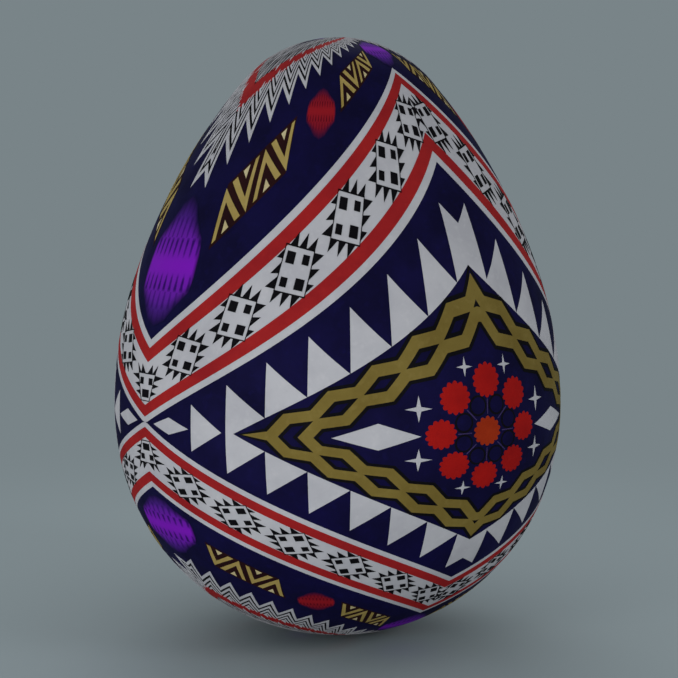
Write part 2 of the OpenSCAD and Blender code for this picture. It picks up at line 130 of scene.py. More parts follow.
def onEgg(longitude, latitude, offset):
    # pattern degrees to a point over the shell, in metres
    toPole = max(0.0, math.cos(math.radians(latitude))) ** 0.5
    latitude -= toPole * handLaid["low"]
    latitude -= toPole * handLaid["leanOver"] * math.cos(math.radians(longitude - handLaid["leanWay"]))
    share = abs(latitude) / quarterTurn
    if latitude >= 0:
        arcs, way = arcsAbove, 1
        for order, part in enumerate(eggForm["tipStretch"], 1):
            share += part * math.sin(math.pi * order * latitude / quarterTurn)
        run = share * lengthAbove
    else:
        arcs, way = arcsBelow, -1
        run = share * lengthBelow
    for arc in arcs:
        if run <= arcLength(arc) or arc is arcs[-1]:
            break
        run -= arcLength(arc)
    slope = arc[2] + way * run / arc[1]
    across = arc[0][0] + (arc[1] + offset) * math.cos(slope)
    height = arc[0][1] + (arc[1] + offset) * math.sin(slope)
    turn = math.radians(longitude)
    return Vector((across * math.sin(turn), -across * math.cos(turn), height)) * millimetre


# Drawing in pattern degrees: longitude 0 is the front diamond, latitude 0 the widest ring
bandRise = 38.9       # latitude that a slanted line gains over a quarter turn
lean = bandRise / quarterTurn


def slant(start, longitude):
    turned = longitude % halfTurn
    return start + bandRise - lean * min(turned, halfTurn - turned)


def flipped(shape, across, up):
    return [(t * across, l * up) for t, l in shape]


def shifted(shape, longitude):
    return [(t + longitude, l) for t, l in shape]


def bothSides(shapes):
    return [flipped(s, across, 1) for s in shapes for across in (-1, 1)]


def fourCorners(shapes):
    return [flipped(s, across, up) for s in shapes for across in (-1, 1) for up in (-1, 1)]


def onMiddles(shapes, up):
    return [shifted(flipped(s, 1, up), turn) for s in shapes for turn in (0, halfTurn)]


def inQuarters(shapes, up):
    return onMiddles(bothSides(shapes), up)


def between(a, b, share):
    return (a[0] + (b[0] - a[0]) * share, a[1] + (b[1] - a[1]) * share)


def signedArea(shape):
    pairs = zip(shape, shape[1:] + shape[:1])
    return sum(a[0] * b[1] - b[0] * a[1] for a, b in pairs) / 2


def insideOf(shape, x, y):
    inside = False
    for a, b in zip(shape, shape[1:] + shape[:1]):
        if (a[1] > y) != (b[1] > y) and x < (b[0] - a[0]) * (y - a[1]) / (b[1] - a[1]) + a[0]:
            inside = not inside
    return inside


def clearOf(points, x, y, room):
    return all(abs(x - p[0]) > room or abs(y - p[1]) > room for p in points)


def dividedEdge(a, b, step):
    count = max(1, math.ceil(max(abs(b[0] - a[0]), abs(b[1] - a[1])) / step))
    return [between(a, b, i / count) for i in range(count)]


# Each of these gives flat points and faces, counter-clockwise, for one closed film
def filledOutline(shape, step=meshStep):
    rim = []
    for a, b in zip(shape, shape[1:] + shape[:1]):
        rim.extend(dividedEdge(a, b, step))
    if signedArea(rim) < 0:
        rim.reverse()
    low = [min(p[i] for p in rim) for i in (0, 1)]
    high = [max(p[i] for p in rim) for i in (0, 1)]
    cells = [math.floor((high[i] - low[i]) / step) for i in (0, 1)]
    room = step * rimRoom
    points = list(rim)
    for i in range(1, cells[0] + 1):
        for j in range(1, cells[1] + 1):
            x, y = low[0] + i * step, low[1] + j * step
            if insideOf(rim, x, y) and clearOf(rim, x, y, room):
                points.append((x, y))
    made = delaunay_2d_cdt([Vector(p) for p in points], [], [list(range(len(rim)))], 1, weldRoom, False)
    flat = [(p.x, p.y) for p in made[0]]
    faces = []
    for face in made[2]:
        corners = [flat[i] for i in face]
        if insideOf(rim, *[sum(p[i] for p in corners) / len(corners) for i in (0, 1)]):
            faces.append(list(face) if signedArea(corners) > 0 else list(reversed(face)))
    return flat, faces


def filled(shapes, longitude=0):
    return [filledOutline(shifted(s, longitude)) for s in shapes]


def loopFilm(inner, outer, step=meshStep):
    # a closed line with width, given by its two edges point by point
    flat, rows = [], 0
    count = len(inner)
    for i in range(count):
        j = (i + 1) % count
        runs = [max(abs(e[j][0] - e[i][0]), abs(e[j][1] - e[i][1])) for e in (inner, outer)]
        steps = max(1, math.ceil(max(runs) / step))
        for k in range(steps):
            flat.append(between(inner[i], inner[j], k / steps))
            flat.append(between(outer[i], outer[j], k / steps))
            rows += 1
    faces = []
    for i in range(rows):
        j = (i + 1) % rows
        face = [2 * i, 2 * i + 1, 2 * j + 1, 2 * j]
        turned = signedArea([flat[k] for k in face]) > 0
        faces.append(face if turned else face[::-1])
    return flat, faces


def ringFilm(near, far, longitudes, rows):
    # a ring round the whole egg, between two latitudes that follow the longitude
    flat, faces = [], []
    columns = len(longitudes)
    for t in longitudes:
        ends = sorted((near(t), far(t)))
        for r in range(rows + 1):
            flat.append((t, ends[0] + (ends[1] - ends[0]) * r / rows))
    for c in range(columns):
        d = (c + 1) % columns
        for r in range(rows):
            a, b = c * (rows + 1) + r, d * (rows + 1) + r
            faces.append([a, b, b + 1, a + 1])
    return flat, faces


def closedFilms(films, coat):
    # gives each flat film its two faces and its rim, and lays it on the egg
    low, high = coats[coat]
    points, faces = [], []
    for flat, flatFaces in films:
        first, count = len(points), len(flat)
        for offset in (high, low):
            points.extend(onEgg(t, l, offset) for t, l in flat)
        used = {}
        for face in flatFaces:
            faces.append([first + i for i in face])
            faces.append([first + count + i for i in reversed(face)])
            for a, b in zip(face, face[1:] + face[:1]):
                used[(a, b)] = True
        for a, b in used:
            if (b, a) not in used:
                faces.append([first + b, first + a, first + count + a, first + count + b])
    return points, faces


sharpRim = math.radians(40)


def makePiece(name, points, faces, material, strokes=None):
    mesh = bpy.data.meshes.new(name)
    mesh.from_pydata(points, [], faces)
    mesh.validate()
    mesh.shade_smooth()
    mesh.set_sharp_from_angle(angle=sharpRim)
    if strokes:
        layer = mesh.attributes.new("stroke", "FLOAT_VECTOR", "POINT")
        layer.data.foreach_set("vector", [x for place in strokes for x in place])
    mesh.materials.append(material)
    piece = bpy.data.objects.new(name, mesh)
    bpy.context.scene.collection.objects.link(piece)
    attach(piece, "egg")
    return piece


def paint(name, films, coat, material, nodes=(), strokes=None):
    points, faces = closedFilms(films, coat)
    piece = makePiece(name, points, faces, material, strokes)
    if nodes:
        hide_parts(*nodes)


# Finishes
def linear(value):
    value /= 255
    return value / 12.92 if value <= 0.04045 else ((value + 0.055) / 1.055) ** 2.4


def tone(red, green, blue):
    return (linear(red), linear(green), linear(blue), 1.0)


class NodeDesk:
    # shorthand for wiring one material, or the world
    def __init__(self, owner):
        owner.use_nodes = True
        self.tree = owner.node_tree
        self.shader = self.tree.nodes.get("Principled BSDF")

    def put(self, value, socket):
        if isinstance(value, bpy.types.NodeSocket):
            self.tree.links.new(value, socket)
        else:
            socket.default_value = value

    def into(self, socketName, value):
        self.put(value, self.shader.inputs[socketName])

    def add(self, kind, inputs=None, **settings):
        node = self.tree.nodes.new(kind)
        for key, value in settings.items():
            setattr(node, key, value)
        for key, value in (inputs or {}).items():
            self.put(value, node.inputs[key])
        return node

    def noise(self, where, scale, detail, rough):
        made = self.add("ShaderNodeTexNoise",
                        {"Vector": where, "Scale": scale, "Detail": detail, "Roughness": rough})
        return made.outputs["Fac"]

    def ranged(self, value, fromLow, fromHigh, toLow=0.0, toHigh=1.0):
        made = self.add("ShaderNodeMapRange", {
            "Value": value, "From Min": fromLow, "From Max": fromHigh, "To Min": toLow, "To Max": toHigh})
        return made.outputs["Result"]

    def sums(self, operation, a, b=0.0):
        return self.add("ShaderNodeMath", {0: a, 1: b}, operation=operation).outputs[0]

    def blend(self, share, a, b):
        # the node's colours are its inputs 6 and 7 and its output 2
        return self.add("ShaderNodeMix", {0: share, 6: a, 7: b}, data_type="RGBA").outputs[2]


# How dye lies on an eggshell: it pools in soft patches and catches in the pores
dyeLook = {
    # scale, detail and roughness of each noise; patches are about 5 mm
    "patches": (210.0, 4.0, 0.6),
    "flecks": (1500.0, 2.0, 0.5),
    "grain": (3600.0, 2.0, 0.6),
    "poreScale": 1250.0,
    "pooled": (0.38, 0.64),           # patches are plain below these values and pooled above
    "worn": (0.55, 0.75),
    "poreShade": (0.0, 0.16, 0.55, 0.0),      # distance from a pore, and how dark it is there
    "poreDent": (0.0, 0.22, -0.8, 0.0),
    "roughPatches": (0.3, 0.7),
    "grainHeight": 0.5,
    "depth": 0.00003,
    "gloss": 0.05,
}


def dye(name, plain, pooled, worn, wornShare=0.16, rough=(0.62, 0.78), relief=0.35):
    material = bpy.data.materials.new(name)
    desk = NodeDesk(material)
    look = dyeLook
    where = desk.add("ShaderNodeTexCoord").outputs["Object"]
    patches, flecks, grain = (desk.noise(where, *look[k]) for k in ("patches", "flecks", "grain"))
    pores = desk.add("ShaderNodeTexVoronoi", {"Vector": where, "Scale": look["poreScale"]},
                     feature="F1").outputs["Distance"]
    base = desk.blend(desk.ranged(patches, *look["pooled"]), plain, pooled)
    base = desk.blend(desk.ranged(flecks, *look["worn"], 0.0, wornShare), base, worn)
    base = desk.blend(desk.ranged(pores, *look["poreShade"]), base, pooled)
    desk.into("Base Color", base)
    desk.into("Roughness", desk.ranged(patches, *look["roughPatches"], *rough))
    height = desk.sums("MULTIPLY", grain, look["grainHeight"])
    height = desk.sums("ADD", height, desk.ranged(pores, *look["poreDent"]))
    bump = desk.add("ShaderNodeBump", {"Height": height, "Strength": relief, "Distance": look["depth"]})
    desk.into("Normal", bump.outputs["Normal"])
    desk.into("Specular IOR Level", look["gloss"])
    return material


# A feathered dye: rows of upright strokes, set off from row to row, that melt into the ground at the rim
featherLook = {
    # rows, as shares of the half height: half of the plain middle one, then each of the others
    "middleRow": 0.1,
    "rowHeight": 0.3,
    "spread": 0.95,           # how much a dark stroke widens outward over its row
    "uneven": (5.0, 3.0, 0.6),                # scale, detail and roughness
    "unevenBy": (0.35, 0.65, -0.2, 0.2),
    "dark": (0.35, 1.6),
    "rowStart": (0.0, 0.25),
    "rowEnd": (0.86, 1.0, 1.0, 0.3),          # how a stroke fades at the row's end
    "plainEnds": (0.3, 0.95, 1.0, 0.4),       # the strokes grow fainter between these shares
    "dull": (0.04, 0.7),
    "rimFade": (0.62, 1.0),
}


def featheredDye(name, bright, deep, dark, ground, strokesAcross):
    material = dye(name, bright, deep, dark)
    desk = NodeDesk(material)
    look = featherLook
    drawn = desk.add("ShaderNodeAttribute", attribute_name="stroke").outputs["Vector"]
    parts = desk.add("ShaderNodeSeparateXYZ", {"Vector": drawn}).outputs
    along = desk.sums("ABSOLUTE", parts["Y"])
    rows = desk.sums("DIVIDE", desk.sums("SUBTRACT", along, look["middleRow"]), look["rowHeight"])
    withinRow = desk.sums("FRACT", rows)
    outward = desk.sums("MULTIPLY", withinRow, look["spread"])
    turns = desk.sums("MULTIPLY", parts["X"], math.pi * strokesAcross)
    setOff = desk.sums("MULTIPLY", desk.sums("FLOOR", rows), math.pi)
    wave = desk.sums("SINE", desk.sums("ADD", turns, setOff))
    uneven = desk.ranged(desk.noise(drawn, *look["uneven"]), *look["unevenBy"])
    share = desk.ranged(desk.sums("ADD", desk.sums("ADD", wave, outward), uneven), *look["dark"])
    for value, fade in ((rows, "rowStart"), (withinRow, "rowEnd"), (along, "plainEnds")):
        share = desk.sums("MULTIPLY", share, desk.ranged(value, *look[fade]))
    shades = desk.blend(share, desk.blend(desk.ranged(along, *look["dull"]), bright, deep), dark)
    rim = desk.ranged(parts["Z"], *look["rimFade"])
    desk.into("Base Color", desk.blend(rim, shades, ground))
    return material


# Each dye: its plain, pooled and worn tones, and its worn share where that isn't the usual one
whiteDye = dye("white_field", tone(174, 174, 179), tone(164, 164, 170), tone(188, 187, 190), 0.3)
navyDye = dye("navy_dye", tone(13, 10, 53), tone(10, 8, 41), tone(18, 15, 68), 0.35)
redDye = dye("red_dye", tone(148, 30, 31), tone(134, 26, 30), tone(166, 42, 38))
petalDye = dye("petal_red", tone(154, 19, 16), tone(138, 16, 16), tone(172, 32, 26))
heartDye = dye("heart_orange", tone(148, 44, 15), tone(134, 36, 13), tone(166, 58, 22))
blackDye = dye("black_dye", tone(12, 11, 15), tone(9, 8, 11), tone(22, 20, 24))
# the dark brown of the zigzags' painted shadow
brownShadowDye = dye("brown_shadow_dye", tone(38, 14, 15), tone(28, 11, 15), tone(52, 24, 18))
ribbonDye = dye("ribbon_gold", tone(114, 99, 48), tone(104, 89, 41), tone(130, 114, 64), 0.3)
zigzagDye = dye("zigzag_gold", tone(158, 139, 82), tone(142, 123, 66), tone(174, 156, 106), 0.3)
chipDye = dye("zigzag_pale", tone(186, 174, 136), tone(170, 156, 112), tone(198, 188, 158), 0.3)
spokeDye = dye("spoke_violet", tone(62, 50, 92), tone(50, 40, 80), tone(80, 66, 108))
# The feathered ones: bright, deep and dark tones, the ground that they melt into, and strokes across
featherGround = tone(12, 9, 48)
purpleDye = featheredDye("purple_dye", tone(116, 20, 174), tone(74, 28, 132), tone(42, 4, 92),
                         featherGround, 9.6)
ovalDye = featheredDye("oval_red", tone(136, 20, 30), tone(112, 16, 36), tone(82, 4, 18),
                       featherGround, 11.0)
print("finishes mixed:", len(bpy.data.materials))

halves = (("upper", 1), ("lower", -1))
diamonds = (("front", 0), ("back", halfTurn))

# Ground coat: one closed shell round the whole egg
groundCoat = {"columns": 300, "rows": 150}


def groundShell(form):
    columns, rows = form["columns"], form["rows"]
    points, faces = [], []
    for offset, outward in zip(reversed(coats["ground"]), (True, False)):
        first = len(points)
        points.append(onEgg(0, -quarterTurn, offset))
        for r in range(1, rows):
            for c in range(columns):
                points.append(onEgg(c * fullTurn / columns, r * halfTurn / rows - quarterTurn, offset))
        points.append(onEgg(0, quarterTurn, offset))
        last = len(points) - 1
        made = []
        for c in range(columns):
            d = (c + 1) % columns
            made.append([first, first + 1 + d, first + 1 + c])
            top = first + 1 + (rows - 2) * columns
            made.append([last, top + c, top + d])
            for r in range(rows - 2):
                a, b = first + 1 + r * columns, first + 1 + (r + 1) * columns
                made.append([a + c, a + d, b + d, b + c])
        faces.extend(made if outward else [f[::-1] for f in made])
    return points, faces


groundPoints, groundFaces = groundShell(groundCoat)
ground = makePiece("navy_coat", groundPoints, groundFaces, navyDye)
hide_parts("navy_ground")
print("ground coat laid")

# White zigzag bands with a red line inside each edge
bands = {"near": -0.28, "far": 15.55, "whiteEdge": 1.38, "redLine": 2.42, "rows": 13, "redRows": 2}
bandLongitudes = list(range(fullTurn))


def slantedRing(near, far, up, rows):
    # the two bands meet on the widest ring and go no further
    return ringFilm(lambda t: up * max(0, slant(near, t)),
                    lambda t: up * slant(far, t), bandLongitudes, rows)


nearRed = bands["near"] + bands["whiteEdge"]
farRed = bands["far"] - bands["whiteEdge"]
redLines = (
    ("outer", nearRed, nearRed + bands["redLine"]),
    ("inner", farRed - bands["redLine"], farRed),
)
for half, up in halves:
    paint(f"{half}_white_band", [slantedRing(bands["near"], bands["far"], up, bands["rows"])],
          "first", whiteDye, [f"{half}_band"])
    for which, near, far in redLines:
        paint(f"{half}_{which}_red_stripe", [slantedRing(near, far, up, bands["redRows"])],
              "second", redDye, [f"{half}_{which}_red_line"])
print("bands laid")

# The net in the bands: leaning tiles with four squares, framed and set about with saw teeth
net = {
    "middle": 7.7,
    "start": 5.7,
    "pitch": 14.15,
    "count": 6,
    "across": (7.6, -0.775),      # a tile's flat side and its steep side
    "along": (2.1, 5.3),
    "frame": (0.03, 0.032),       # width of the black line round a tile, as a share of its sides
    # place and half size of each square, as shares of the tile's sides
    "squares": ((-0.285, -0.285, 0.117, 0.108), (0.25, -0.262, 0.152, 0.13),
                (-0.25, 0.262, 0.152, 0.13), (0.285, 0.285, 0.117, 0.108)),
    # saw teeth on the steep side: where each stands on it, and how far its point lies from its foot
    "steepTeeth": ((0.1, 0.3, (1.7, 0.4)), (0.39, 0.63, (2.4, 0.65)), (0.7, 0.98, (2.75, 0.5))),
    "flatTeeth": ((0.14, 0.4, (1.25, 1.5)), (0.47, 0.72, (1.35, 1.6)), (0.77, 1.02, (1.7, 1.35))),
}


boxCorners = ((-1, -1), (1, -1), (1, 1), (-1, 1))


def tilePoint(centre, a, b):
    u, v = net["across"], net["along"]
    return (centre[0] + a * u[0] + b * v[0], centre[1] + a * u[1] + b * v[1])


def tileBox(centre, a, b, halfA, halfB):
    return [tilePoint(centre, a + x * halfA, b + y * halfB) for x, y in boxCorners]


def netTile(centre):
    wideA, wideB = 0.5 + net["frame"][0], 0.5 + net["frame"][1]
    frames = [(tileBox(centre, 0, 0, 0.5, 0.5), tileBox(centre, 0, 0, wideA, wideB))]
    shapes = [tileBox(centre, *square) for square in net["squares"]]
    sides = (
        (net["steepTeeth"], (wideA, -0.5), (wideA, 0.5)),
        (net["flatTeeth"], (-0.5, wideB), (0.5, wideB)),
    )
    for way in (1, -1):       # the far sides are the near ones turned about
        for teeth, start, end in sides:
            for low, high, reach in teeth:
                foot = [tilePoint(centre, *[way * x for x in between(start, end, s)]) for s in (low, high)]
                root = between(foot[0], foot[1], 0.5)
                shapes.append([foot[0], (root[0] + way * reach[0], root[1] + way * reach[1]), foot[1]])
    return shapes, frames


# The tile on the bands' crossing line narrows towards the crossing
cornerTile = {
    "near": (4.5, 1.75),      # latitude and half width of its narrow and wide sides
    "far": (9.6, 3.75),
    "frame": 0.2,
    "bigSquare": (5.85, 1.5, 0.8),        # latitude, half width, half height
    "smallSquare": (8.25, 2.0, 0.8, 0.66),
    "sideTeeth": ((5.4, 6.4, 2.0, 0.2), (6.9, 7.9, 2.2, 0.2), (8.3, 9.5, 3.3, 0.35)),
    # teeth on the wide side: start, end and tip across, and how far the tip lies off
    "endTeeth": ((0.5, 2.6, 2.4, 1.55), (2.7, 3.9, 4.7, 1.6)),
}


def cornerTileShapes(form):
    low, high = form["near"], form["far"]

    def wideAt(latitude):
        return low[1] + (high[1] - low[1]) * (latitude - low[0]) / (high[0] - low[0])

    def trapezoid(grow):
        return [(-low[1] - grow, low[0] - grow), (low[1] + grow, low[0] - grow),
                (high[1] + grow, high[0] + grow), (-high[1] - grow, high[0] + grow)]

    def box(x, y, halfX, halfY):
        return [(x + a * halfX, y + b * halfY) for a, b in boxCorners]

    frames = [(trapezoid(0), trapezoid(form["frame"]))]
    shapes = [box(0, *form["bigSquare"])]
    latitude, x, halfX, halfY = form["smallSquare"]
    shapes += [box(-x, latitude, halfX, halfY), box(x, latitude, halfX, halfY)]
    for start, end, reach, drop in form["sideTeeth"]:
        feet = [(wideAt(l) + form["frame"], l) for l in (start, end)]
        point = (feet[1][0] + reach, (start + end) / 2 + drop)
        shapes += bothSides([[feet[0], point, feet[1]]])
    base = high[0] + form["frame"]
    for start, end, tip, reach in form["endTeeth"]:
        shapes += bothSides([[(start, base), (end, base), (tip, base + reach)]])
    return shapes, frames


netShapes, netFrames = [], []
for i in range(net["count"]):
    longitude = -net["start"] - i * net["pitch"]
    shapes, frames = netTile((longitude, slant(net["middle"], longitude)))
    netShapes += shapes
    netFrames += frames
cornerShapes, cornerFrames = cornerTileShapes(cornerTile)
cornerShapes = [shifted(s, -quarterTurn) for s in cornerShapes]
cornerFrames = [[shifted(s, -quarterTurn) for s in pair] for pair in cornerFrames]
for half, up in halves:
    films = filled(inQuarters(netShapes, up) + onMiddles(cornerShapes, up))
    for pair in netFrames:
        films += [loopFilm(*edges) for edges in zip(*[inQuarters([loop], up) for loop in pair])]
    for pair in cornerFrames:
        films += [loopFilm(*edges) for edges in zip(*[onMiddles([loop], up) for loop in pair])]
    paint(f"{half}_black_net", films, "third", blackDye, [f"{half}_net"])
print("nets laid")

# White wolf's teeth round each diamond: upright backs, slanted feet
teeth = {
    "pitch": 9.76,
    "start": 4.85,
    "foot": 12.2,             # how far inside the bands the feet and the points lie
    "point": 2.3,
    "gap": 0.12,
    "endLength": 8.6,         # the last tooth on each side, a plain triangle
    "notchRoom": 0.35,
    "topHalf": 5.15,          # the notched tooth in the middle: half width, place and depth of its notch
    "topPlace": 0.4,
    "notch": 2.3,
    "sag": 0.85,              # the upper points hang lower towards the middle
    "sagFrom": 50.0,
}


def wolfTeeth(form):
    def foot(t):
        return slant(-form["foot"], t)

    def point(t, sag=0):
        return slant(-form["point"], t) - sag * max(0, 1 - abs(t) / form["sagFrom"])

    footEnd = -quarterTurn * (1 - form["foot"] / bandRise)
    whole = math.floor((-footEnd - form["start"]) / form["pitch"])
    backs = [-form["start"] - k * form["pitch"] for k in range(whole + 3)]
    run = form["pitch"] - form["gap"]
    t = backs[whole + 1]
    corner = [(t, point(t)), (t, -point(t)), (t + run, -foot(t + run)),
              (footEnd + form["notchRoom"], 0), (t + run, foot(t + run))]
    t = backs[whole + 2]
    end = [(t, point(t)), (t, -point(t)), (t + form["endLength"], 0)]
    made = bothSides([corner, end])
    middle = form["topPlace"]
    left, right = middle - form["topHalf"], middle + form["topHalf"]
    for up, sag in ((1, form["sag"]), (-1, 0)):
        sides = [[(t, foot(t)), (t + run, foot(t + run)), (t, point(t, sag))] for t in backs[1:whole + 1]]
        height = point(left, sag)
        top = [(0, foot(0)), (right, foot(right)), (right, height),
               (middle, height - form["notch"]), (left, height), (left, foot(left))]
        made += [flipped(s, 1, up) for s in bothSides(sides) + [top]]
    return made


for side, longitude in diamonds:
    paint(f"{side}_wolf_teeth", filled(wolfTeeth(teeth), longitude),
          "first", whiteDye, [f"{side}_teeth"])
print("wolf's teeth laid")

# Gold ribbon of two strands that climb in steps and touch at every bend
ribbon = {
    "touch": (-41.9, 3.53),       # where the strands first touch
    "step": (10.02, 4.39),        # from one touch to the next
    "flat": (6.15, 0.8),          # the flatter part of a step
    "apart": (-0.54, 0.8),        # from a touch to the outer strand's bend
    "touches": 5,
    "strand": 2.04,
    "edge": 0.66,                 # black line along each side of a strand
    "squeeze": 0.74,              # a degree of longitude is this much of a degree of latitude
    "spike": (-59.2, -53.4, 0.9, -51.5),      # tip, shoulder, half width and root
}


def sideOf(a, b):
    run = math.hypot(b[0] - a[0], b[1] - a[1])
    return (-(b[1] - a[1]) / run, (b[0] - a[0]) / run)


def loopEdge(path, shift):
    # one edge of a closed line with width, mitred at its corners
    squeeze = ribbon["squeeze"]
    path = [(t * squeeze, l) for t, l in path]
    made = []
    for i, p in enumerate(path):
        before = sideOf(path[i - 1], p)
        after = sideOf(p, path[(i + 1) % len(path)])
        mean = (before[0] + after[0], before[1] + after[1])
        scale = 2 * shift / (mean[0] ** 2 + mean[1] ** 2)
        made.append(((p[0] + scale * mean[0]) / squeeze, p[1] + scale * mean[1]))
    return made


def strandLoop(form, outer):
    # bends in one corner of the diamond, up to its middle lines, then round the other corners
    step, flat = form["step"], form["flat"]
    steep = (step[0] - flat[0], step[1] - flat[1])
    way = 1 if outer else -1
    line = []
    for n in range(form["touches"]):
        bend = (form["touch"][0] + n * step[0] + way * form["apart"][0],
                form["touch"][1] + n * step[1] + way * form["apart"][1])
        other = (bend[0] - flat[0], bend[1] - flat[1]) if outer else (bend[0] + flat[0], bend[1] + flat[1])
        line += [other, bend] if outer else [bend, other]
    line = [p for p in line if p[0] < 0]
    first, last = line[0], line[-1]
    foot = (first[0] - first[1] * steep[0] / steep[1], 0)
    rise = steep[1] / steep[0] if outer else flat[1] / flat[0]
    head = (0, last[1] - last[0] * rise)
    line = [foot] + line + [head]
    return (line[:-1] + flipped(line, -1, 1)[:0:-1]
            + flipped(line, -1, -1)[:-1] + flipped(line, 1, -1)[:0:-1])


def ribbonSpikes(form, grow):
    tip, shoulder, half, root = form["spike"]
    return bothSides([[(tip - 2 * grow, 0), (shoulder, half + grow), (root, 0), (shoulder, -half - grow)]])


strands = [strandLoop(ribbon, outer) for outer in (True, False)]
for side, longitude in diamonds:
    edgeFilms, goldFilms = [], []
    for loop in strands:
        wide = ribbon["strand"] / 2 + ribbon["edge"]
        edges = [shifted(loopEdge(loop, w), longitude) for w in (-wide, wide)]
        edgeFilms.append(loopFilm(*edges))
        edges = [shifted(loopEdge(loop, w * ribbon["strand"] / 2), longitude) for w in (-1, 1)]
        goldFilms.append(loopFilm(*edges))
    edgeFilms += filled(ribbonSpikes(ribbon, ribbon["edge"]), longitude)
    goldFilms += filled(ribbonSpikes(ribbon, 0), longitude)
    paint(f"{side}_ribbon_edge", edgeFilms, "first", blackDye)
    paint(f"{side}_gold_ribbon", goldFilms, "second", ribbonDye, [f"{side}_ribbon"])
print("ribbons laid")

# Rosette: a heart, eight scalloped petals, dark discs between them and thin spokes
rosette = {
    "reach": (12.9, 10.05),
    "petal": (4.15, 3.25),
    "scallop": 0.17,
    "scallops": 14,
    "pointsPerScallop": 6,
    "disc": (2.5, 2.05),
    "discCorners": 36,
    "discPlace": 0.575,
    "rim": 0.8,               # share of a disc inside its black rim
    "spokeWidth": 0.24,
    "spoke": (0.36, 0.66),    # where a spoke starts and ends, as shares of the reach
}
petalCount = 8
petalStep = fullTurn / petalCount


def scalloped(centre, form):
    count = form["scallops"] * form["pointsPerScallop"]
    shape = []
    for i in range(count):
        a = fullTurn * i / count
        wave = abs(math.sin(math.radians(a) * form["scallops"] / 2))
        r = 1 - form["scallop"] + form["scallop"] * wave
        shape.append((centre[0] + r * form["petal"][0] * math.cos(math.radians(a)),
                      centre[1] + r * form["petal"][1] * math.sin(math.radians(a))))
    return shape


def roundShape(centre, halfWidth, halfHeight, count):
    angles = [math.tau * i / count for i in range(count)]
    return [(centre[0] + halfWidth * math.cos(a), centre[1] + halfHeight * math.sin(a)) for a in angles]


def rosetteAt(form, share, turn):
    a = math.radians(turn)
    return (form["reach"][0] * share * math.cos(a), form["reach"][1] * share * math.sin(a))


def spokeShape(form, turn):
    start, end = (rosetteAt(form, s, turn) for s in form["spoke"])
    side = sideOf(start, end)
    half = form["spokeWidth"] / 2
    return [(p[0] + w * side[0] * half, p[1] + w * side[1] * half)
            for p, w in ((start, -1), (end, -1), (end, 1), (start, 1))]


def discShapes(form, share):
    # the discs stand between the petals
    size = [share * x for x in form["disc"]]
    places = [rosetteAt(form, form["discPlace"], (k + 0.5) * petalStep) for k in range(petalCount)]
    return [roundShape(p, *size, form["discCorners"]) for p in places]


petals = [scalloped(rosetteAt(rosette, 1, k * petalStep), rosette) for k in range(petalCount)]
discRims, discs = discShapes(rosette, 1), discShapes(rosette, rosette["rim"])
spokes = [spokeShape(rosette, k * petalStep) for k in range(petalCount)]
for side, longitude in diamonds:
    for name, shapes, coat, finish, slot, nodes in (
        ("rose_petals", petals, "first", petalDye, "petal_red", [f"{side}_petals"]),
        ("rose_heart", [scalloped((0, 0), rosette)], "first", heartDye, "heart_orange", [f"{side}_heart"]),
        ("rose_disc_rims", discRims, "first", blackDye, "black_dye", []),
        ("rose_discs", discs, "second", navyDye, "navy_dye", []),
        ("rose_spokes", spokes, "first", spokeDye, "purple_dye", []),
    ):
        paint(f"{side}_{name}", filled(shapes, longitude), coat, finish, nodes)
print("rosettes laid")

# Four-pointed stars and plain lozenges
stars = {
    "large": ((18.5, 5.35), (3.35, 2.55)),
    "small": ((6.2, 12.6), (2.25, 1.7)),
    "waist": 0.24,
    "corners": 8,
}
lozenges = {"outer": (-86.2, -74.0, 1.85, 0.47), "inner": (-38.5, -17.9, 2.8, 0.51)}


def starShape(centre, size):
    shape = []
    for i in range(stars["corners"]):
        r = 1 if i % 2 == 0 else stars["waist"]
        a = math.tau * i / stars["corners"]
        shape.append((centre[0] + r * size[0] * math.cos(a), centre[1] + r * size[1] * math.sin(a)))
    return shape


def lozengeShape(start, end, half, widest):
    middle = start + (end - start) * widest
    return [(start, 0), (middle, -half), (end, 0), (middle, half)]


starShapes = fourCorners([starShape(*stars[k]) for k in ("large", "small")])
lozengeShapes = bothSides([lozengeShape(*lozenges[k]) for k in ("outer", "inner")])
for side, longitude in diamonds:
    paint(f"{side}_small_stars", filled(starShapes, longitude),
          "first", whiteDye, [f"{side}_stars"])
    paint(f"{side}_white_lozenges", filled(lozengeShapes, longitude),
          "first", whiteDye, [f"{side}_lozenges"])
print("stars and lozenges laid")

# Feathered lozenges with blunt ends: place and half size of each
feathered = {
    "lowPurple": ((-90, 25.9), (12.2, 8.3)),
    "highPurple": ((0, 62.7), (13.8, 8.0)),
    "polePurple": ((-90, 77.5), (17.0, 3.6)),
    "red": ((-44.2, 45.1), (6.3, 4.15)),
    # half height at a share of the half width
    "profile": ((0, 1), (0.33, 0.89), (0.58, 0.66), (0.93, 0.4), (1, 0.16)),
    "blunt": 4,               # the higher, the nearer to its end a lozenge starts to fade
}


def featheredHeight(share):
    line = feathered["profile"]
    for a, b in zip(line, line[1:]):
        if share <= b[0]:
            break
    return a[1] + (b[1] - a[1]) * (share - a[0]) / (b[0] - a[0])


def featheredShape(centre, size):
    line = feathered["profile"]
    upper = line[:0:-1] + tuple((-x, h) for x, h in line)
    shape = upper + tuple((x, -h) for x, h in reversed(upper))
    return [(centre[0] + x * size[0], centre[1] + y * size[1]) for x, y in shape]


def featherPlace(point, middle, size):
    # across, along and out to the rim, as shares of the lozenge
    x, y = (point[0] - middle[0]) / size[0], (point[1] - middle[1]) / size[1]
    return (x, y, max(abs(y) / featheredHeight(min(1, abs(x))), x ** feathered["blunt"]))


